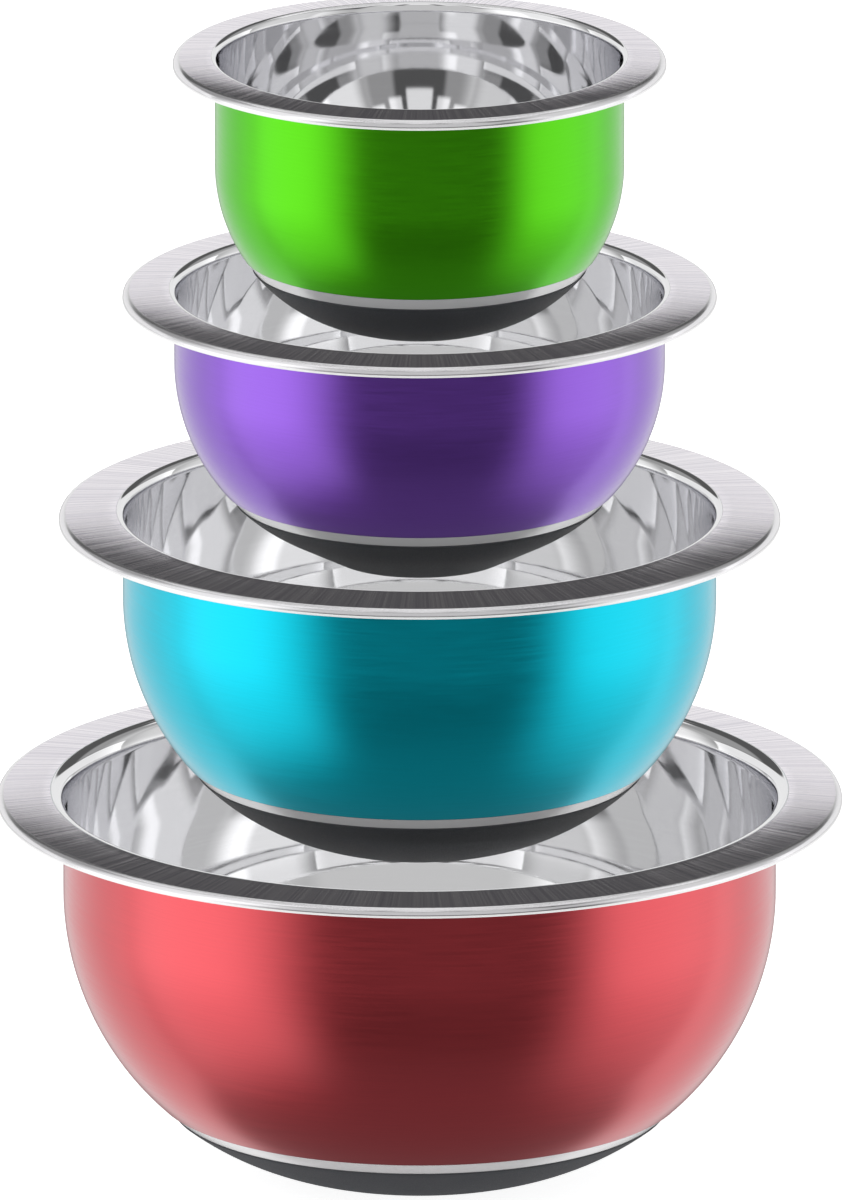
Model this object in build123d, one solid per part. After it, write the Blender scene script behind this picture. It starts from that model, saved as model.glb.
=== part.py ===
from build123d import *

import os
from dataclasses import dataclass
from math import asin, atan2, cos, degrees, radians, sin, sqrt

# A tower of four round mixing bowls, each a deep-drawn steel shell with a wide flange rim, a band of
# coloured lacquer on the outside and a silicone base cup. Millimetres, +Z up, the foot of the largest
# bowl centred on the origin. A section is drawn in the XZ plane, from the axis outwards, and revolved.

# Sizes that the four bowls share
SHEET = 0.8            # steel sheet
COAT = 0.25            # lacquer on the outside of the steel
COAT_START = 1.0       # bare steel between the rim's throat and the top of the lacquer
BOND = 0.1             # adhesive between the steel and the silicone
BOND_INSET = 1.0       # how far the adhesive stops short of the silicone's upper lip
BASE_WALL = 0.5        # silicone up the side of the bowl
BASE_FLOOR = 2.4       # silicone under the flat floor
LIP_ROUND = 0.3        # rounding of the silicone's upper lip
LIP_SHARE = 0.8        # most of the silicone's wall that this rounding may take
FOOT_ROUND = 1.0       # rounding round the flat foot
KNUCKLE = 15.0         # outside radius between the steel's side and its flat floor
FLANGE_SLOPE = 3.5     # degrees that the rim falls towards its edge
THROAT_TURN = 30.0     # degrees that the throat turns before the tighter shoulder takes over
EDGE_ROLL = 2.4        # top radius of the rim's turned-down edge
EDGE_HEM = 0.5         # straight part of the edge below its roll


@dataclass
class Bowl:
    name: str
    body_dia: float         # outside of the straight steel wall
    flange: float           # from that wall out to the rim's edge
    height: float           # from the flat foot to the middle of the rim's edge
    side_radius: float      # outside of the steel, from the straight wall down to the knuckle
    floor_dia: float        # flat part of the steel floor
    foot_slope: float       # degrees between the silicone's lower side and the table
    throat_radius: float    # inside of the steel, where the wall starts to flare
    shoulder_radius: float  # inside of the steel, over the crest of the rim
    coat_bottom: float      # height of the lacquer's lower edge
    base_top: float         # height of the silicone's upper lip
    sink: float             # depth of its foot below the rim edge of the bowl under it


BOWLS = [
    Bowl(
        name="red", body_dia=242.3, flange=22.75, height=128.7, side_radius=97.45, floor_dia=91.2,
        foot_slope=16.0, throat_radius=9.7, shoulder_radius=4.5,
        coat_bottom=25.3, base_top=20.2, sink=0.0,
    ),
    Bowl(
        name="turquoise", body_dia=201.3, flange=22.0, height=110.6, side_radius=86.25, floor_dia=80.4,
        foot_slope=18.0, throat_radius=5.8, shoulder_radius=2.7,
        coat_bottom=27.4, base_top=22.9, sink=11.9,
    ),
    Bowl(
        name="purple", body_dia=166.1, flange=17.8, height=90.5, side_radius=65.75, floor_dia=42.4,
        foot_slope=27.0, throat_radius=5.0, shoulder_radius=2.3,
        coat_bottom=24.5, base_top=20.0, sink=12.2,
    ),
    Bowl(
        name="green", body_dia=138.3, flange=14.5, height=89.9, side_radius=55.85, floor_dia=59.0,
        foot_slope=18.0, throat_radius=4.1, shoulder_radius=1.9,
        coat_bottom=23.8, base_top=19.2, sink=8.2,
    ),
]

DOWN = -90.0           # direction of the outside of the floor, in degrees from outwards towards up
UP = 90.0
FLOOR_Z = BOND + BASE_FLOOR


def at(centre, radius, angle):
    """Point on a circle, at an angle in degrees from outwards towards up."""
    turn = radians(angle)
    return centre[0] + radius * cos(turn), centre[1] + radius * sin(turn)


def arc(centre, radius, start, end):
    return ThreePointArc(*[at(centre, radius, angle) for angle in (start, (start + end) / 2, end)])


def turned(edges, stand):
    """The closed section that the edges enclose, turned about Z with its foot at its stand height."""
    return Pos(0, 0, stand) * revolve(Plane.XZ * make_face(edges), Axis.Z)


class Section:
    """Centres and angles of one bowl's section, with its foot at zero."""

    def __init__(self, bowl):
        self.bowl = bowl
        self.wall = bowl.body_dia / 2
        self.rim = self.wall + bowl.flange
        self.knuckle = bowl.floor_dia / 2, FLOOR_Z + KNUCKLE
        side_x = self.wall - bowl.side_radius
        reach = bowl.side_radius - KNUCKLE
        rise = sqrt(reach**2 - (self.knuckle[0] - side_x) ** 2)
        self.side = side_x, self.knuckle[1] + rise
        self.turn = degrees(atan2(-rise, self.knuckle[0] - side_x))
        self.rim_centres()

    def rim_centres(self):
        """The rim hangs from its edge, so the wall reaches up to wherever the throat starts."""
        bowl = self.bowl
        flare = UP * 2 - THROAT_TURN
        self.flare = flare
        self.flange_normal = UP - FLANGE_SLOPE
        throat = self.wall - SHEET + bowl.throat_radius, 0.0
        shoulder = at(throat, bowl.throat_radius - bowl.shoulder_radius, flare)
        edge_x = self.rim - EDGE_ROLL
        fall = (edge_x - shoulder[0]) * sin(radians(FLANGE_SLOPE))
        edge_z = shoulder[1] + (bowl.shoulder_radius - EDGE_ROLL - fall) / cos(radians(FLANGE_SLOPE))
        lift = bowl.height + EDGE_HEM / 2 - edge_z
        self.throat = throat[0], lift
        self.shoulder = shoulder[0], shoulder[1] + lift
        self.edge = edge_x, edge_z + lift

    def angle(self, height):
        """Direction from the side's centre of the point on the steel at that height."""
        return degrees(asin((height - self.side[1]) / self.bowl.side_radius))

    def wall_line(self, out, top):
        """Outside of the straight wall, at a distance out from the steel."""
        return Line((self.wall + out, top), (self.wall + out, self.side[1]))

    def side_arc(self, out, start, end):
        return arc(self.side, self.bowl.side_radius + out, start, end)

    def bottom(self, out):
        """Knuckle and flat floor, at a distance out from the steel, ending on the axis."""
        flat = at(self.knuckle, KNUCKLE + out, DOWN)
        return [arc(self.knuckle, KNUCKLE + out, self.turn, DOWN), Line(flat, (0, flat[1]))]

    def rim_curve(self, inset):
        """Throat, shoulder, flange and rolled edge, at a distance below the polished face."""
        radii = [self.bowl.throat_radius, self.bowl.shoulder_radius, EDGE_ROLL]
        throat, shoulder, edge = [radius - inset for radius in radii]
        crest = at(self.shoulder, shoulder, self.flange_normal)
        roll = at(self.edge, edge, self.flange_normal)
        hem = at(self.edge, edge, 0)
        return [
            arc(self.throat, throat, UP * 2, self.flare),
            arc(self.shoulder, shoulder, self.flare, self.flange_normal),
            Line(crest, roll),
            arc(self.edge, edge, self.flange_normal, 0),
            Line(hem, (hem[0], hem[1] - EDGE_HEM)),
        ]


def steel_shell(section, stand):
    """One drawn sheet: flat floor, knuckle, long side arc, straight wall and flange rim."""
    top = section.throat[1]
    edges = []
    for out, inset in ((0.0, SHEET), (-SHEET, 0.0)):
        edges.append(section.wall_line(out, top))
        edges.append(section.side_arc(out, 0, section.turn))
        edges += section.bottom(out)
        edges += section.rim_curve(inset)
    hem_centre = section.rim - SHEET / 2, section.edge[1] - EDGE_HEM
    edges.append(arc(hem_centre, SHEET / 2, 0, -2 * UP))
    edges.append(Line((0, FLOOR_Z), (0, FLOOR_Z + SHEET)))
    return turned(edges, stand)


def colour_coat(section, stand):
    """Lacquer skin, from just under the throat down to the bare band above the silicone."""
    top = section.throat[1] - COAT_START
    low = section.angle(section.bowl.coat_bottom)
    radius = section.bowl.side_radius
    edges = [Line((section.wall, top), (section.wall + COAT, top))]
    for out in (0.0, COAT):
        edges.append(section.wall_line(out, top))
        edges.append(section.side_arc(out, 0, low))
    edges.append(Line(at(section.side, radius, low), at(section.side, radius + COAT, low)))
    return turned(edges, stand)


def silicone_base(section, stand):
    """Moulded cup that follows the steel and ends in a cone that meets the flat foot."""
    lip = section.angle(section.bowl.base_top)
    inner = section.bowl.side_radius + BOND
    outer = inner + BASE_WALL
    cone = DOWN + section.bowl.foot_slope
    cone_top = at(section.side, outer, cone)
    run = cone_top[1] * cos(radians(section.bowl.foot_slope)) / sin(radians(section.bowl.foot_slope))
    foot = cone_top[0] - run, 0
    lip_corner = at(section.side, outer, lip)
    edges = section.bottom(BOND)
    edges += [
        section.side_arc(BOND, lip, section.turn),
        Line(at(section.side, inner, lip), lip_corner),
        arc(section.side, outer, lip, cone),
        Line(cone_top, foot),
        Line(foot, (0, 0)),
        Line((0, 0), (0, FLOOR_Z - BOND)),
    ]
    cup = make_face(edges)
    for corner, radius in ((lip_corner, min(LIP_ROUND, BASE_WALL * LIP_SHARE)), (foot, FOOT_ROUND)):
        vertex = cup.vertices().sort_by_distance((*corner, 0))[0]
        cup = fillet(vertex, radius)
    return Pos(0, 0, stand) * revolve(Plane.XZ * cup, Axis.Z)


def base_bond(section, stand):
    """Adhesive film between the steel and the silicone, a little short of the lip."""
    radius = section.bowl.side_radius
    start = section.angle(section.bowl.base_top) - degrees(BOND_INSET / radius)
    edges = [Line(at(section.side, radius, start), at(section.side, radius + BOND, start))]
    for out in (0.0, BOND):
        edges.append(section.side_arc(out, start, section.turn))
        edges += section.bottom(out)
    edges.append(Line((0, FLOOR_Z), (0, FLOOR_Z - BOND)))
    return turned(edges, stand)


PIECES = {
    "steel_shell": steel_shell,
    "colour_coat": colour_coat,
    "silicone_base": silicone_base,
    "base_bond": base_bond,
}


def main():
    os.makedirs("parts", exist_ok=True)
    rim_below = 0.0
    for bowl in BOWLS:
        stand = rim_below - bowl.sink
        section = Section(bowl)
        for piece, make in PIECES.items():
            export_step(make(section, stand), f"parts/{bowl.name}_{piece}.step")
        rim_below = stand + bowl.height


main()
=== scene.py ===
from math import asin, atan2, ceil, cos, degrees, hypot, pi, radians, sin, sqrt

import bpy
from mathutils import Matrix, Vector


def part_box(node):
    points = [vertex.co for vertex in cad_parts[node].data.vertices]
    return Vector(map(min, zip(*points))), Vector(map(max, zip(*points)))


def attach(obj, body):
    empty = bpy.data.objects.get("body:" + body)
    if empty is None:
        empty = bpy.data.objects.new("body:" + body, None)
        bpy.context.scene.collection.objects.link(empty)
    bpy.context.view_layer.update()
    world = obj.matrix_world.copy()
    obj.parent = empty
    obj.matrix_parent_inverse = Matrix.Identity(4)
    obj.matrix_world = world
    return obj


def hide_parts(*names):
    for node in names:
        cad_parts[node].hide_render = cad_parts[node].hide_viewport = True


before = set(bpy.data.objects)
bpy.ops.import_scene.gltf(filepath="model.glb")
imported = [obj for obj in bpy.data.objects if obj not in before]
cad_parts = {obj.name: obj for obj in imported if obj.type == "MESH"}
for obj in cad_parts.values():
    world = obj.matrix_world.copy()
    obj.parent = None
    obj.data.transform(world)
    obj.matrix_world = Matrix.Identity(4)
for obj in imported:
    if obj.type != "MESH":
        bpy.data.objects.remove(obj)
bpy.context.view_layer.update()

# A tower of four steel mixing bowls: metres, +Z up, the foot of the largest bowl on the origin.

MM = 0.001
SHEET = 0.8 * MM              # steel sheet
COAT = 0.25 * MM              # lacquer on the steel
BOND = 0.1 * MM               # adhesive under the silicone
BASE_WALL = 0.5 * MM          # silicone up the side
LIP_ROUND = 0.3 * MM          # upper lip of the silicone
FOOT_ROUND = 1.0 * MM         # edge of the flat foot
KNUCKLE = 15.0 * MM           # steel between its side and its flat floor
FLOOR_Z = 2.5 * MM            # underside of the steel above the foot
FLANGE_SLOPE = 3.5            # degrees that the rim falls outwards
THROAT_TURN = 30.0            # degrees of the wide flare before the tight shoulder
EDGE_ROLL = 2.4 * MM          # rolled-down edge of the rim
EDGE_HEM = 0.5 * MM           # straight part below the roll
COAT_EDGE = 0.08 * MM         # rounding of the lacquer's edges

TURN_STEPS = 256              # facets round a bowl
MERGE = 0.002 * MM            # points closer than this are one
SMOOTH_UNDER = 35.0           # edges sharper than this many degrees stay crisp
FLAT = 90.0                   # normal of a level surface, in degrees from outwards towards up


class Bowl:
    """Section of one bowl: what the frame gives is measured, and the hidden curves are stated."""

    def __init__(self, name, side_radius, floor_dia, foot_slope, throat_radius, shoulder_radius):
        self.name = name
        self.side_radius = side_radius * MM
        self.throat_radius = throat_radius * MM
        self.shoulder_radius = shoulder_radius * MM
        self.foot_slope = foot_slope
        shell_low, shell_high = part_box(f"{name}_steel_shell")
        coat_low, coat_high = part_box(f"{name}_colour_coat")
        base_low, base_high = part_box(f"{name}_silicone_base")
        self.foot = base_low.z
        self.wall = coat_high.x - COAT
        self.rim = shell_high.x
        self.coat_low = coat_low.z - self.foot
        self.coat_high = coat_high.z - self.foot
        self.lip = base_high.z - self.foot
        self.crest = shell_high.z - self.foot
        self.knuckle = floor_dia * MM / 2, FLOOR_Z + KNUCKLE
        side_x = self.wall - self.side_radius
        rise = sqrt((self.side_radius - KNUCKLE) ** 2 - (self.knuckle[0] - side_x) ** 2)
        self.side = side_x, self.knuckle[1] + rise
        self.turn = degrees(atan2(-rise, self.knuckle[0] - side_x))
        self.place_rim()

    def place_rim(self):
        """The rim hangs from its crest, the highest circle of the steel."""
        self.flare = 2 * FLAT - THROAT_TURN
        self.flange_normal = FLAT - FLANGE_SLOPE
        throat = self.wall - SHEET + self.throat_radius, 0.0
        shoulder = on_circle(throat, self.throat_radius - self.shoulder_radius, self.flare)
        lift = self.crest - self.shoulder_radius - shoulder[1]
        self.throat = throat[0], lift
        self.shoulder = shoulder[0], shoulder[1] + lift
        slope = radians(FLANGE_SLOPE)
        edge_x = self.rim - EDGE_ROLL
        fall = (edge_x - self.shoulder[0]) * sin(slope)
        self.edge = edge_x, self.shoulder[1] + (self.shoulder_radius - EDGE_ROLL - fall) / cos(slope)

    def angle(self, height, out):
        """Direction, from the centre of the long side arc, of the skin that far out from the steel."""
        return degrees(asin((height - self.side[1]) / (self.side_radius + out)))


def on_circle(centre, radius, angle):
    return centre[0] + radius * cos(radians(angle)), centre[1] + radius * sin(radians(angle))


# A profile is a start point and then its strokes. A straight stroke is the point that it ends on, and
# a curved one is its centre and its first and last angle, from outwards towards up.


def side_strokes(bowl, out):
    """Down the straight wall, the long side arc and the knuckle, then in along the floor."""
    flat = on_circle(bowl.knuckle, KNUCKLE + out, -FLAT)
    return [
        ("line", (bowl.wall + out, bowl.side[1])),
        ("arc", bowl.side, 0, bowl.turn),
        ("arc", bowl.knuckle, bowl.turn, -FLAT),
        ("line", (flat[0] * 2 / 3, flat[1])),
        ("line", (flat[0] / 3, flat[1])),
        ("line", (0, flat[1])),
    ]


def rim_strokes(bowl, inset):
    """Up from the wall over the throat and shoulder, out along the flange, round the edge and down."""
    return [
        ("arc", bowl.throat, 2 * FLAT, bowl.flare),
        ("arc", bowl.shoulder, bowl.flare, bowl.flange_normal),
        ("line", on_circle(bowl.edge, EDGE_ROLL - inset, bowl.flange_normal)),
        ("arc", bowl.edge, bowl.flange_normal, 0),
        ("line", (bowl.rim - inset, bowl.edge[1] - EDGE_HEM)),
    ]


def shell_profile(bowl):
    """From the middle of the floor up the inside, over the rim, and back down the outside."""
    top = bowl.throat[1]
    inner_floor = on_circle(bowl.knuckle, KNUCKLE - SHEET, -FLAT)
    hem = bowl.rim - SHEET / 2, bowl.edge[1] - EDGE_HEM
    shoulder_under = on_circle(bowl.shoulder, bowl.shoulder_radius - SHEET, bowl.flange_normal)
    return (0, inner_floor[1]), [
        ("line", (inner_floor[0] / 3, inner_floor[1])),
        ("line", (inner_floor[0] * 2 / 3, inner_floor[1])),
        ("line", inner_floor),
        ("arc", bowl.knuckle, -FLAT, bowl.turn),
        ("arc", bowl.side, bowl.turn, 0),
        ("line", (bowl.wall - SHEET, top)),
        *rim_strokes(bowl, 0.0),
        ("arc", hem, 0, -2 * FLAT),
        ("line", (bowl.rim - SHEET, bowl.edge[1])),
        ("arc", bowl.edge, 0, bowl.flange_normal),
        ("line", shoulder_under),
        ("arc", bowl.shoulder, bowl.flange_normal, bowl.flare),
        ("arc", bowl.throat, bowl.flare, 2 * FLAT),
        *side_strokes(bowl, 0.0),
    ]


def coat_profile(bowl):
    """A closed ring of lacquer with softened edges."""
    low = bowl.angle(bowl.coat_low, COAT)
    soft = degrees(COAT_EDGE / bowl.side_radius)
    outer = bowl.side_radius + COAT
    start = bowl.wall, bowl.coat_high
    return start, [
        ("line", (bowl.wall + COAT - COAT_EDGE, bowl.coat_high)),
        ("line", (bowl.wall + COAT, bowl.coat_high - COAT_EDGE)),
        ("line", (bowl.wall + COAT, bowl.side[1])),
        ("arc", bowl.side, 0, low + soft),
        ("line", on_circle(bowl.side, outer - COAT_EDGE, low)),
        ("line", on_circle(bowl.side, bowl.side_radius, low)),
        ("arc", bowl.side, low, 0),
        ("line", start),
    ]


def base_profile(bowl):
    """Silicone cup: up its inside, over the lip, down its side and cone to the flat foot."""
    lip = bowl.angle(bowl.lip, BOND + BASE_WALL)
    inner = bowl.side_radius + BOND
    outer = inner + BASE_WALL
    cone = bowl.foot_slope - FLAT
    cone_top = on_circle(bowl.side, outer, cone)
    slope = radians(bowl.foot_slope)
    foot = cone_top[0] - cone_top[1] * cos(slope) / sin(slope)
    run = FOOT_ROUND * sin(slope / 2) / cos(slope / 2)
    flat = on_circle(bowl.knuckle, KNUCKLE + BOND, -FLAT)
    lip_turn = degrees(LIP_ROUND / outer)
    lip_centre = on_circle(bowl.side, outer - LIP_ROUND, lip - lip_turn)
    return (0, flat[1]), [
        ("line", flat),
        ("arc", bowl.knuckle, -FLAT, bowl.turn),
        ("arc", bowl.side, bowl.turn, lip),
        ("line", on_circle(lip_centre, LIP_ROUND, lip + FLAT)),
        ("arc", lip_centre, lip + FLAT, lip),
        ("line", on_circle(bowl.side, outer, lip - lip_turn)),
        ("arc", bowl.side, lip - lip_turn, cone),
        ("line", on_circle((foot - run, FOOT_ROUND), FOOT_ROUND, cone)),
        ("arc", (foot - run, FOOT_ROUND), cone, -FLAT),
        ("line", (foot / 2, 0)),
        ("line", (0, 0)),
    ]


def turn_piece(name, bowl, profile):
    """Draws a profile stroke by stroke from one vertex, then turns it round the axis."""
    start, strokes = profile
    bpy.ops.object.select_all(action="DESELECT")
    bpy.ops.mesh.primitive_plane_add(size=MM, location=(0, 0, 0))
    piece = bpy.context.object
    piece.name = name
    piece.data.name = name
    bpy.ops.object.mode_set(mode="EDIT")
    bpy.ops.mesh.select_all(action="SELECT")
    bpy.ops.mesh.merge(type="CENTER")
    bpy.ops.transform.translate(value=(start[0], 0, start[1] + bowl.foot))
    at = start
    for stroke in strokes:
        if stroke[0] == "line":
            there = stroke[1]
            move = Vector((there[0] - at[0], 0, there[1] - at[1]))
            bpy.ops.mesh.extrude_region_move(TRANSFORM_OT_translate={"value": move})
        else:
            centre, first, last = stroke[1:]
            radius = hypot(at[0] - centre[0], at[1] - centre[1])
            step = arc_step(radius)
            bpy.ops.mesh.spin(
                steps=max(2, ceil(abs(last - first) / step)),
                angle=radians(last - first),
                center=(centre[0], 0, centre[1] + bowl.foot),
                axis=(0, 1, 0),
            )
            there = on_circle(centre, radius, last)
        at = there
    bpy.ops.object.mode_set(mode="OBJECT")
    lathe = piece.modifiers.new("lathe", "SCREW")
    lathe.angle = 2 * pi
    lathe.steps = lathe.render_steps = TURN_STEPS
    lathe.use_merge_vertices = True
    lathe.merge_threshold = MERGE
    bpy.ops.object.modifier_apply(modifier=lathe.name)
    bpy.ops.object.mode_set(mode="EDIT")
    bpy.ops.mesh.select_all(action="SELECT")
    bpy.ops.mesh.remove_doubles(threshold=MERGE)
    bpy.ops.mesh.normals_make_consistent(inside=False)
    bpy.ops.object.mode_set(mode="OBJECT")
    bpy.ops.object.shade_smooth_by_angle(angle=radians(SMOOTH_UNDER))
    return piece


# Degrees between the points of an arc, by its radius: coarse on small rounds and fine on the sides
ARC_STEPS = ((0.5 * MM, 30.0), (1.2 * MM, 10.0), (6.0 * MM, 5.0), (20.0 * MM, 3.0))
SIDE_STEP = 1.5


def arc_step(radius):
    for limit, step in ARC_STEPS:
        if radius < limit:
            return step
    return SIDE_STEP


# Materials ---------------------------------------------------------------------------------------


class Nodes:
    """Short calls for wiring a node tree."""

    def __init__(self, tree):
        self.tree = tree

    def add(self, kind, **values):
        node = self.tree.nodes.new(kind)
        for key, value in values.items():
            setattr(node, key, value)
        return node

    def join(self, out, into):
        self.tree.links.new(out, into)

    def feed(self, sockets, values):
        """Links each value that is a socket, and sets the others as constants."""
        for socket, value in zip(sockets, values):
            if hasattr(value, "is_linked"):
                self.join(value, socket)
            else:
                socket.default_value = value

    def maths(self, operation, *values):
        node = self.add("ShaderNodeMath", operation=operation)
        self.feed(node.inputs, values)
        return node.outputs[0]

    def vector(self, operation, *values):
        node = self.add("ShaderNodeVectorMath", operation=operation)
        self.feed(node.inputs, values)
        return node.outputs["Value" if operation == "LENGTH" else "Vector"]

    def split(self, vector):
        node = self.add("ShaderNodeSeparateXYZ")
        self.join(vector, node.inputs[0])
        return node.outputs

    def range(self, value, low, high, to_low=0.0, to_high=1.0):
        """A soft step from one value to another."""
        node = self.add("ShaderNodeMapRange", interpolation_type="SMOOTHSTEP")
        self.feed(node.inputs, (value, low, high, to_low, to_high))
        return node.outputs["Result"]

    def noise(self, vector, scale, detail=3.0, roughness=0.55):
        node = self.add("ShaderNodeTexNoise", noise_dimensions="3D")
        node.inputs["Scale"].default_value = scale
        node.inputs["Detail"].default_value = detail
        node.inputs["Roughness"].default_value = roughness
        self.join(vector, node.inputs["Vector"])
        return node.outputs["Fac"]

    def blend(self, share, first, second):
        """A mix of two colours."""
        node = self.add("ShaderNodeMix", data_type="RGBA")
        self.join(share, node.inputs[0])
        node.inputs[6].default_value = (*first, 1)
        node.inputs[7].default_value = (*second, 1)
        return node.outputs[2]

    def place(self):
        return self.add("ShaderNodeTexCoord").outputs["Object"]


def group_tree(name, inputs, outputs):
    tree = bpy.data.node_groups.new(name, "ShaderNodeTree")
    for label, value in inputs:
        socket = tree.interface.new_socket(label, in_out="INPUT", socket_type="NodeSocketFloat")
        socket.default_value = value
    for label in outputs:
        tree.interface.new_socket(label, in_out="OUTPUT", socket_type="NodeSocketFloat")
    nodes = Nodes(tree)
    return nodes, nodes.add("NodeGroupInput"), nodes.add("NodeGroupOutput")


def turned_lines_group():
    """Fine grinding lines on a round piece. Around is their spacing round the axis, and Along the
    spacing across it: few round and many along gives rings, many round and few along gives rays."""
    nodes, given, gives = group_tree("grinding lines", [("Around", 1.0), ("Along", 1.0)], ["Lines", "Drift"])
    place = nodes.place()
    flat = nodes.vector("MULTIPLY", place, (1, 1, 0))
    ring = nodes.split(nodes.vector("NORMALIZE", flat))
    across = nodes.maths("ADD", nodes.vector("LENGTH", flat), nodes.split(place)["Z"])
    joined = nodes.add("ShaderNodeCombineXYZ")
    nodes.join(nodes.maths("MULTIPLY", ring["X"], given.outputs["Around"]), joined.inputs[0])
    nodes.join(nodes.maths("MULTIPLY", ring["Y"], given.outputs["Around"]), joined.inputs[1])
    nodes.join(nodes.maths("MULTIPLY", across, given.outputs["Along"]), joined.inputs[2])
    nodes.join(nodes.noise(joined.outputs[0], 1.0, 4.0, 0.7), gives.inputs["Lines"])
    nodes.join(nodes.noise(joined.outputs[0], 0.13, 2.0, 0.5), gives.inputs["Drift"])
    return nodes.tree


def new_material(name, base, metallic, roughness, **constants):
    material = bpy.data.materials.new(name)
    material.use_nodes = True
    shader = material.node_tree.nodes["Principled BSDF"]
    shader.inputs["Base Color"].default_value = (*base, 1)
    shader.inputs["Metallic"].default_value = metallic
    shader.inputs["Roughness"].default_value = roughness
    for label, value in constants.items():
        shader.inputs[label.replace("_", " ")].default_value = value
    return material, Nodes(material.node_tree), shader


def bump(nodes, shader, height, strength, distance):
    node = nodes.add("ShaderNodeBump")
    node.inputs["Strength"].default_value = strength
    node.inputs["Distance"].default_value = distance
    nodes.join(height, node.inputs["Height"])
    nodes.join(node.outputs["Normal"], shader.inputs["Normal"])


def lines_of(nodes, tree, around, along):
    node = nodes.add("ShaderNodeGroup")
    node.node_tree = tree
    node.inputs["Around"].default_value = around
    node.inputs["Along"].default_value = along
    return node.outputs["Lines"], node.outputs["Drift"]


def ring_tangent(nodes, shader):
    """Tangent that runs round the axis. Gloss spreads along it, or across it with a quarter turn."""
    tangent = nodes.add("ShaderNodeTangent", direction_type="RADIAL", axis="Z")
    nodes.join(tangent.outputs[0], shader.inputs["Tangent"])


def unmirrored(material, nodes, shader, inside):
    """Keeps a bowl out of its neighbours' mirror images, as if each stood in the studio alone. The
    inside of a bowl still mirrors itself: only its back, or light come through a wall, goes past."""
    path = nodes.add("ShaderNodeLightPath")
    clear = nodes.add("ShaderNodeBsdfTransparent").outputs[0]
    if inside:
        behind = nodes.add("ShaderNodeNewGeometry").outputs["Backfacing"]
        through = nodes.maths("GREATER_THAN", path.outputs["Transparent Depth"], 0.5)
        mix = nodes.add("ShaderNodeMixShader")
        nodes.join(nodes.maths("MAXIMUM", behind, through), mix.inputs[0])
        nodes.join(shader.outputs[0], mix.inputs[1])
        nodes.join(clear, mix.inputs[2])
        clear = mix.outputs[0]
    mix = nodes.add("ShaderNodeMixShader")
    nodes.join(path.outputs["Is Glossy Ray"], mix.inputs[0])
    nodes.join(shader.outputs[0], mix.inputs[1])
    nodes.join(clear, mix.inputs[2])
    nodes.join(mix.outputs[0], material.node_tree.nodes["Material Output"].inputs[0])


def polished_steel(lines):
    material, nodes, shader = new_material("polished steel", (0.88, 0.88, 0.89), 1.0, 0.04)
    fine, drift = lines_of(nodes, lines, 3.0, 2600.0)
    nodes.join(nodes.range(drift, 0.3, 0.7, 0.02, 0.05), shader.inputs["Roughness"])
    nodes.join(nodes.blend(fine, (0.84, 0.84, 0.85), (0.93, 0.93, 0.94)), shader.inputs["Base Color"])
    bump(nodes, shader, fine, 0.02, 0.02 * MM)
    unmirrored(material, nodes, shader, True)
    return material


def brushed_flange(lines):
    """Grinding that runs out across the rim, smoother towards the polished shoulder."""
    material, nodes, shader = new_material(
        "brushed rim steel", (0.83, 0.80, 0.85), 1.0, 0.08, Anisotropic=0.8
    )
    ring_tangent(nodes, shader)
    fine = lines_of(nodes, lines, 130.0, 7.0)[0]
    across = nodes.add("ShaderNodeAttribute", attribute_name="across_rim").outputs["Fac"]
    rough = nodes.range(fine, 0.3, 0.7, 0.05, 0.10)
    polish = nodes.range(across, 0.0, 0.22, 0.4, 1.0)
    nodes.join(nodes.maths("MULTIPLY", rough, polish), shader.inputs["Roughness"])
    streaks = nodes.range(fine, 0.3, 0.7)
    nodes.join(nodes.blend(streaks, (0.66, 0.63, 0.70), (1.0, 0.96, 1.0)), shader.inputs["Base Color"])
    bump(nodes, shader, fine, 0.35, 0.03 * MM)
    unmirrored(material, nodes, shader, True)
    return material


def satin_steel(lines):
    material, nodes, shader = new_material("satin edge steel", (0.88, 0.87, 0.89), 1.0, 0.16)
    fine, drift = lines_of(nodes, lines, 4.0, 1800.0)
    nodes.join(nodes.range(drift, 0.3, 0.7, 0.12, 0.22), shader.inputs["Roughness"])
    bump(nodes, shader, fine, 0.1, 0.02 * MM)
    unmirrored(material, nodes, shader, False)
    return material


def hem_painted_highlight_steel(lines):
    """The cut edge under the roll, made nearly white and half matt so that the glowing floor lights it: a
    painted highlight along the edge.
    """
    material, nodes, shader = new_material("hem steel with painted highlight", (0.93, 0.93, 0.93), 0.25, 0.35)
    fine = lines_of(nodes, lines, 60.0, 900.0)[0]
    nodes.join(nodes.blend(fine, (0.88, 0.88, 0.88), (0.97, 0.97, 0.97)), shader.inputs["Base Color"])
    unmirrored(material, nodes, shader, False)
    return material


def band_steel(lines):
    """Bare band between lacquer and silicone, ground in rings until it is half matt."""
    material, nodes, shader = new_material(
        "brushed band steel", (0.90, 0.90, 0.91), 0.6, 0.22, Anisotropic=0.7, Anisotropic_Rotation=0.25
    )
    ring_tangent(nodes, shader)
    fine = lines_of(nodes, lines, 5.0, 2400.0)[0]
    nodes.join(nodes.range(fine, 0.3, 0.7, 0.18, 0.26), shader.inputs["Roughness"])
    nodes.join(nodes.blend(fine, (0.84, 0.84, 0.85), (0.94, 0.94, 0.95)), shader.inputs["Base Color"])
    bump(nodes, shader, fine, 0.06, 0.02 * MM)
    unmirrored(material, nodes, shader, False)
    return material


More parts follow.
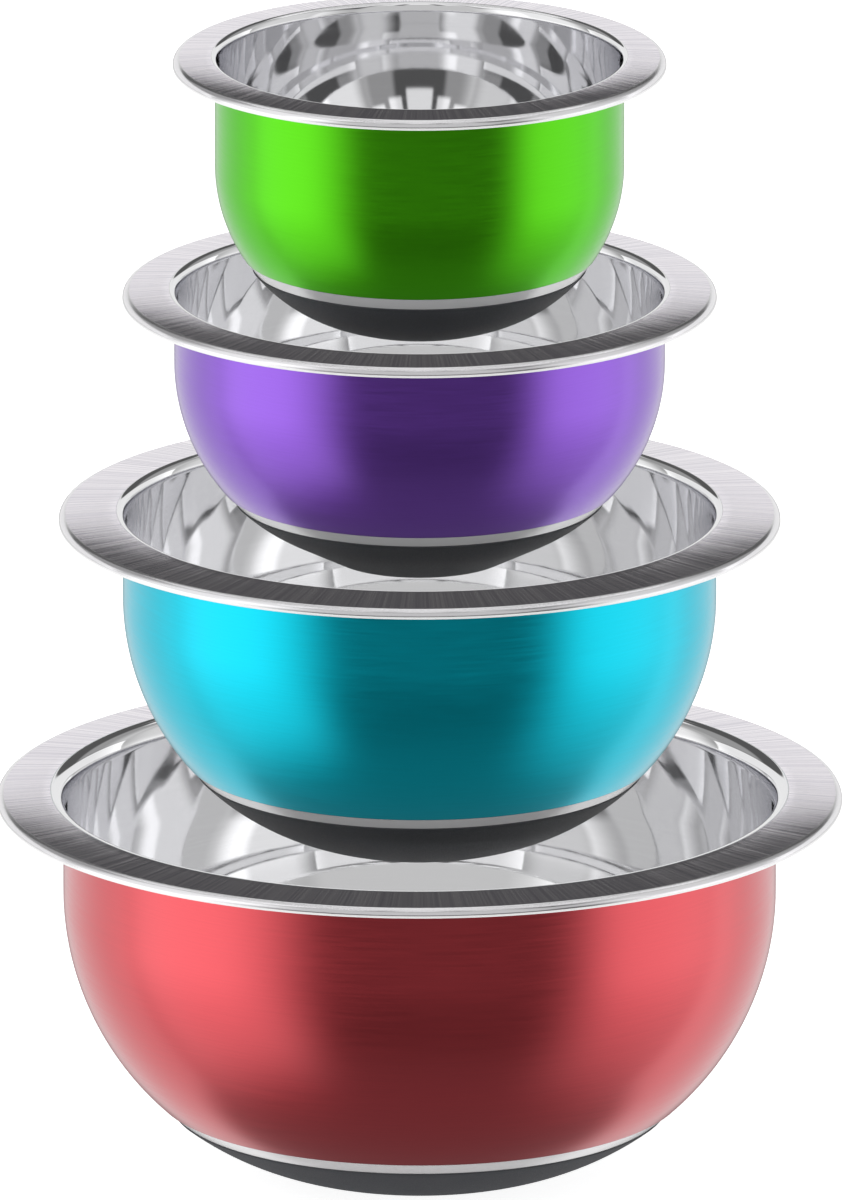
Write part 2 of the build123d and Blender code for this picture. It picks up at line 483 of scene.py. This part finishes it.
def lacquer(bowl, lines, deep, bright, gloss_ior):
    """Tinted lacquer over ring-brushed steel, darker in a thin strip along its lower edge."""
    material, nodes, shader = new_material(
        f"{bowl.name} lacquer over brushed steel", bright, 1.0, 0.33,
        Anisotropic=0.5, Anisotropic_Rotation=0.25,
        Coat_Weight=1.0, Coat_Roughness=0.2, Coat_IOR=gloss_ior,
    )
    ring_tangent(nodes, shader)
    fine = lines_of(nodes, lines, 4.0, 1500.0)[0]
    nodes.join(nodes.range(fine, 0.3, 0.7, 0.29, 0.36), shader.inputs["Roughness"])
    low = bowl.foot + bowl.coat_low
    height = nodes.split(nodes.place())["Z"]
    # Darkens the tint within half a millimetre of the lacquer's lower edge.
    lower_edge_darkening = nodes.range(height, low + 0.1 * MM, low + 0.5 * MM, 0.25, 1.0)
    share = nodes.maths("MULTIPLY", nodes.range(fine, 0.2, 0.8, 0.86, 1.0), lower_edge_darkening)
    nodes.join(nodes.blend(share, deep, bright), shader.inputs["Base Color"])
    bump(nodes, shader, fine, 0.12, 0.02 * MM)
    return material


def silicone():
    material, nodes, shader = new_material(
        "matt dark silicone", (0.037, 0.039, 0.044), 0.0, 0.6, Specular_IOR_Level=0.35
    )
    grain = nodes.noise(nodes.place(), 2600.0, 3.0, 0.6)
    cloud = nodes.noise(nodes.place(), 60.0, 3.0, 0.5)
    tone = nodes.blend(cloud, (0.030, 0.033, 0.038), (0.044, 0.045, 0.050))
    nodes.join(tone, shader.inputs["Base Color"])
    nodes.join(nodes.range(grain, 0.3, 0.7, 0.5, 0.7), shader.inputs["Roughness"])
    bump(nodes, shader, grain, 0.2, 0.03 * MM)
    return material


def adhesive():
    material, nodes, shader = new_material("cured adhesive", (0.59, 0.59, 0.57), 0.0, 0.4)
    cloud = nodes.noise(nodes.place(), 120.0)
    nodes.join(nodes.blend(cloud, (0.52, 0.52, 0.50), (0.66, 0.66, 0.64)), shader.inputs["Base Color"])
    return material


# Pieces ------------------------------------------------------------------------------------------


SHELL_FINISHES = ["polished", "flange", "satin", "band", "hem"]


def paint_shell(piece, bowl, finishes):
    """Polished inside and shoulder, brushed flange, satin edge and underside, brushed outside."""
    for finish in SHELL_FINISHES:
        piece.data.materials.append(finishes[finish])
    start = bowl.shoulder[0] + bowl.shoulder_radius * sin(radians(FLANGE_SLOPE))
    end = bowl.edge[0]
    under = bowl.foot + bowl.throat[1]
    for face in piece.data.polygons:
        radius = hypot(face.center.x, face.center.y)
        outwards = face.normal.x * face.center.x + face.normal.y * face.center.y
        finish = "polished"
        # The cut edge takes the near-white hem finish, a painted highlight.
        if radius > bowl.rim - SHEET * 1.01 and face.center.z < bowl.foot + bowl.edge[1]:
            finish = "hem"
        elif radius > end or (radius > bowl.wall and face.normal.z < 0 and face.center.z > under):
            finish = "satin"
        elif radius > start and face.center.z > under:
            finish = "flange"
        elif radius > bowl.wall - SHEET / 2 and outwards > 0 or face.normal.z < -0.1:
            finish = "band"
        face.material_index = SHELL_FINISHES.index(finish)
    place = piece.data.attributes.new("across_rim", "FLOAT", "POINT")
    for vertex, mark in zip(piece.data.vertices, place.data):
        mark.value = (hypot(vertex.co.x, vertex.co.y) - start) / (end - start)


def make_bowl(bowl, finishes, coat_finish):
    body = f"{bowl.name}_bowl"
    shell = turn_piece(f"{bowl.name}_shell", bowl, shell_profile(bowl))
    paint_shell(shell, bowl, finishes)
    coat = turn_piece(f"{bowl.name}_coat", bowl, coat_profile(bowl))
    coat.data.materials.append(coat_finish)
    base = turn_piece(f"{bowl.name}_base", bowl, base_profile(bowl))
    base.data.materials.append(finishes["silicone"])
    made = (
        (shell, "steel_shell", "steel"),
        (coat, "colour_coat", f"{bowl.name}_coat"),
        (base, "silicone_base", "silicone"),
    )
    coat.visible_glossy = base.visible_glossy = False
    for piece, node, slot in made:
        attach(piece, body)
        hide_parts(f"{bowl.name}_{node}")
    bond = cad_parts[f"{bowl.name}_base_bond"]
    bond.data.materials.clear()
    bond.data.materials.append(finishes["adhesive"])
    bond.visible_glossy = False


# Studio ------------------------------------------------------------------------------------------


def panel(nodes, azimuth, height, sides, levels, soft):
    """One soft-edged light panel between two sides and two levels, in degrees."""
    shape = 1.0
    for value, (low, high) in ((azimuth, sides), (height, levels)):
        rising = nodes.range(value, radians(low - soft), radians(low + soft))
        falling = nodes.range(value, radians(high - soft), radians(high + soft), 1.0, 0.0)
        shape = nodes.maths("MULTIPLY", nodes.maths("MULTIPLY", rising, falling), shape)
    return shape


# Light panels round the tower. Sides are degrees from the front, to the right or on both sides, and
# levels are degrees above the horizon.
PANELS = [
    # which azimuth, brightness, sides, levels, softness
    ("right", 0.78, (56, 114), (-50, 60), 18),    # tall box on the right
    ("right", 1.04, (-108, -42), (-50, 60), 13),  # tall box on the left
    ("both", 0.58, (58, 112), (-24, 4), 10),      # both boxes are brightest half way up
    ("both", 0.97, (112, 200), (-6, 17.6), 0.5),  # pale backdrop behind, low
    ("both", 0.85, (112, 170), (-50, -6), 4),     # table behind
    ("both", 0.10, (-20, 200), (-110, -46), 8),   # table in front and below
    ("both", 0.30, (112, 148), (18, 60), 4),      # dimmer upper corners
    ("both", 0.90, (-20, 200), (76, 100), 4),     # lamp overhead
    ("both", 0.95, (-20, 12), (54, 76), 2),       # sheets round it, with narrow gaps between
    ("both", 0.95, (19, 36), (52, 76), 2),
    ("both", 0.95, (43, 60), (54, 76), 2),
    ("both", 0.95, (67, 84), (58, 76), 2),
    ("both", 0.95, (91, 108), (60, 76), 2),
    ("both", 0.95, (115, 132), (48, 76), 2),
    ("both", 0.95, (139, 156), (44, 76), 2),
    ("both", 0.95, (163, 200), (38, 76), 2),
    ("both", 0.62, (-10, 36), (-3, 50), 4),       # bounce above the camera
    ("both", 0.50, (36, 64), (6, 34), 4),         # and its dimmer sides
]
AMBIENT = 0.12
FLOOR_WIDTH = 60.0
FLOOR_GLOW = 0.85
LID_GAP = 0.3 * MM
LID_OVERHANG = 2 * MM


def studio_world():
    world = bpy.data.worlds.new("soft studio")
    world.use_nodes = True
    bpy.context.scene.world = world
    nodes = Nodes(world.node_tree)
    world.node_tree.nodes.clear()
    way = nodes.split(nodes.add("ShaderNodeTexCoord").outputs["Generated"])
    front = nodes.maths("MULTIPLY", way["Y"], -1.0)
    azimuth = {"right": nodes.maths("ARCTAN2", way["X"], front)}
    azimuth["both"] = nodes.maths("ABSOLUTE", azimuth["right"])
    height = nodes.maths("ARCSINE", way["Z"])
    total = AMBIENT
    for which, brightness, sides, levels, soft in PANELS:
        shape = panel(nodes, azimuth[which], height, sides, levels, soft)
        total = nodes.maths("ADD", nodes.maths("MULTIPLY", shape, brightness), total)
    seen = nodes.add("ShaderNodeBackground")
    seen.inputs["Color"].default_value = (1, 1, 1, 1)
    lit = nodes.add("ShaderNodeBackground")
    nodes.join(total, lit.inputs["Strength"])
    mix = nodes.add("ShaderNodeMixShader")
    nodes.join(nodes.add("ShaderNodeLightPath").outputs["Is Camera Ray"], mix.inputs[0])
    nodes.join(lit.outputs[0], mix.inputs[1])
    nodes.join(seen.outputs[0], mix.inputs[2])
    nodes.join(mix.outputs[0], nodes.add("ShaderNodeOutputWorld").inputs[0])


def studio_floor():
    bpy.ops.object.select_all(action="DESELECT")
    bpy.ops.mesh.primitive_plane_add(size=FLOOR_WIDTH, location=(0, 0, -0.1 * MM))
    floor = bpy.context.object
    floor.name = "studio_floor"
    material, _, shader = new_material("pale floor", (0.8, 0.8, 0.8), 0.0, 0.7)
    shader.inputs["Emission Color"].default_value = (1, 1, 1, 1)
    shader.inputs["Emission Strength"].default_value = FLOOR_GLOW
    floor.data.materials.append(material)
    floor.visible_glossy = False


def mirror_lid(bowl):
    """Clear disc over a bowl that only mirror rays meet: past it they miss the inside of that bowl."""
    bpy.ops.object.select_all(action="DESELECT")
    height = bowl.foot + bowl.crest + LID_GAP
    bpy.ops.mesh.primitive_circle_add(
        vertices=64, radius=bowl.rim + LID_OVERHANG, fill_type="NGON", location=(0, 0, height)
    )
    lid = bpy.context.object
    lid.name = f"{bowl.name}_mirror_lid"
    material = bpy.data.materials.new("clear lid")
    material.use_nodes = True
    nodes = Nodes(material.node_tree)
    clear = nodes.add("ShaderNodeBsdfTransparent").outputs[0]
    nodes.join(clear, material.node_tree.nodes["Material Output"].inputs[0])
    lid.data.materials.append(material)
    lid.visible_camera = lid.visible_diffuse = lid.visible_shadow = lid.visible_transmission = False


def place_camera():
    """Long lens a little above the bowls, level with the middle of the tower."""
    frame_height = 0.408
    aim = Vector((0.0015, 0, 0.199))
    lift = radians(15.8)
    camera = bpy.data.objects.new("camera", bpy.data.cameras.new("camera"))
    bpy.context.scene.collection.objects.link(camera)
    camera.data.lens = 1180
    camera.data.sensor_width = 36
    distance = frame_height * camera.data.lens / camera.data.sensor_width
    back = Vector((0, -cos(lift), sin(lift)))
    camera.location = aim + back * distance
    camera.rotation_mode = "QUATERNION"
    camera.rotation_quaternion = (-back).to_track_quat("-Z", "Y")
    camera.data.clip_start = 1.0
    camera.data.clip_end = 60.0
    bpy.context.scene.camera = camera


def main():
    lines = turned_lines_group()
    finishes = {
        "polished": polished_steel(lines),
        "flange": brushed_flange(lines),
        "satin": satin_steel(lines),
        "hem": hem_painted_highlight_steel(lines),
        "band": band_steel(lines),
        "silicone": silicone(),
        "adhesive": adhesive(),
    }
    # side radius, floor diameter, foot slope, throat radius, shoulder radius, the two tints, gloss index
    bowls = [
        (("red", 97.45, 91.2, 16.0, 9.7, 4.5), (0.45, 0.03, 0.05), (0.86, 0.087, 0.108), 1.45),
        (("turquoise", 86.25, 80.4, 18.0, 5.8, 2.7), (0.0, 0.34, 0.46), (0.005, 0.73, 0.93), 1.15),
        (("purple", 65.75, 42.4, 27.0, 5.0, 2.3), (0.12, 0.03, 0.36), (0.31, 0.105, 0.76), 1.45),
        (("green", 55.85, 59.0, 18.0, 4.1, 1.9), (0.05, 0.42, 0.005), (0.12, 0.74, 0.010), 1.15),
    ]
    for sizes, deep, bright, gloss_ior in bowls:
        bowl = Bowl(*sizes)
        make_bowl(bowl, finishes, lacquer(bowl, lines, deep, bright, gloss_ior))
        if bowl.name != "green":
            mirror_lid(bowl)
    studio_world()
    studio_floor()
    place_camera()
    scene = bpy.context.scene
    scene.view_settings.view_transform = "Standard"
    scene.cycles.max_bounces = 24
    scene.cycles.glossy_bounces = 20
    scene.cycles.transparent_max_bounces = 64
    scene.cycles.use_denoising = True


main()
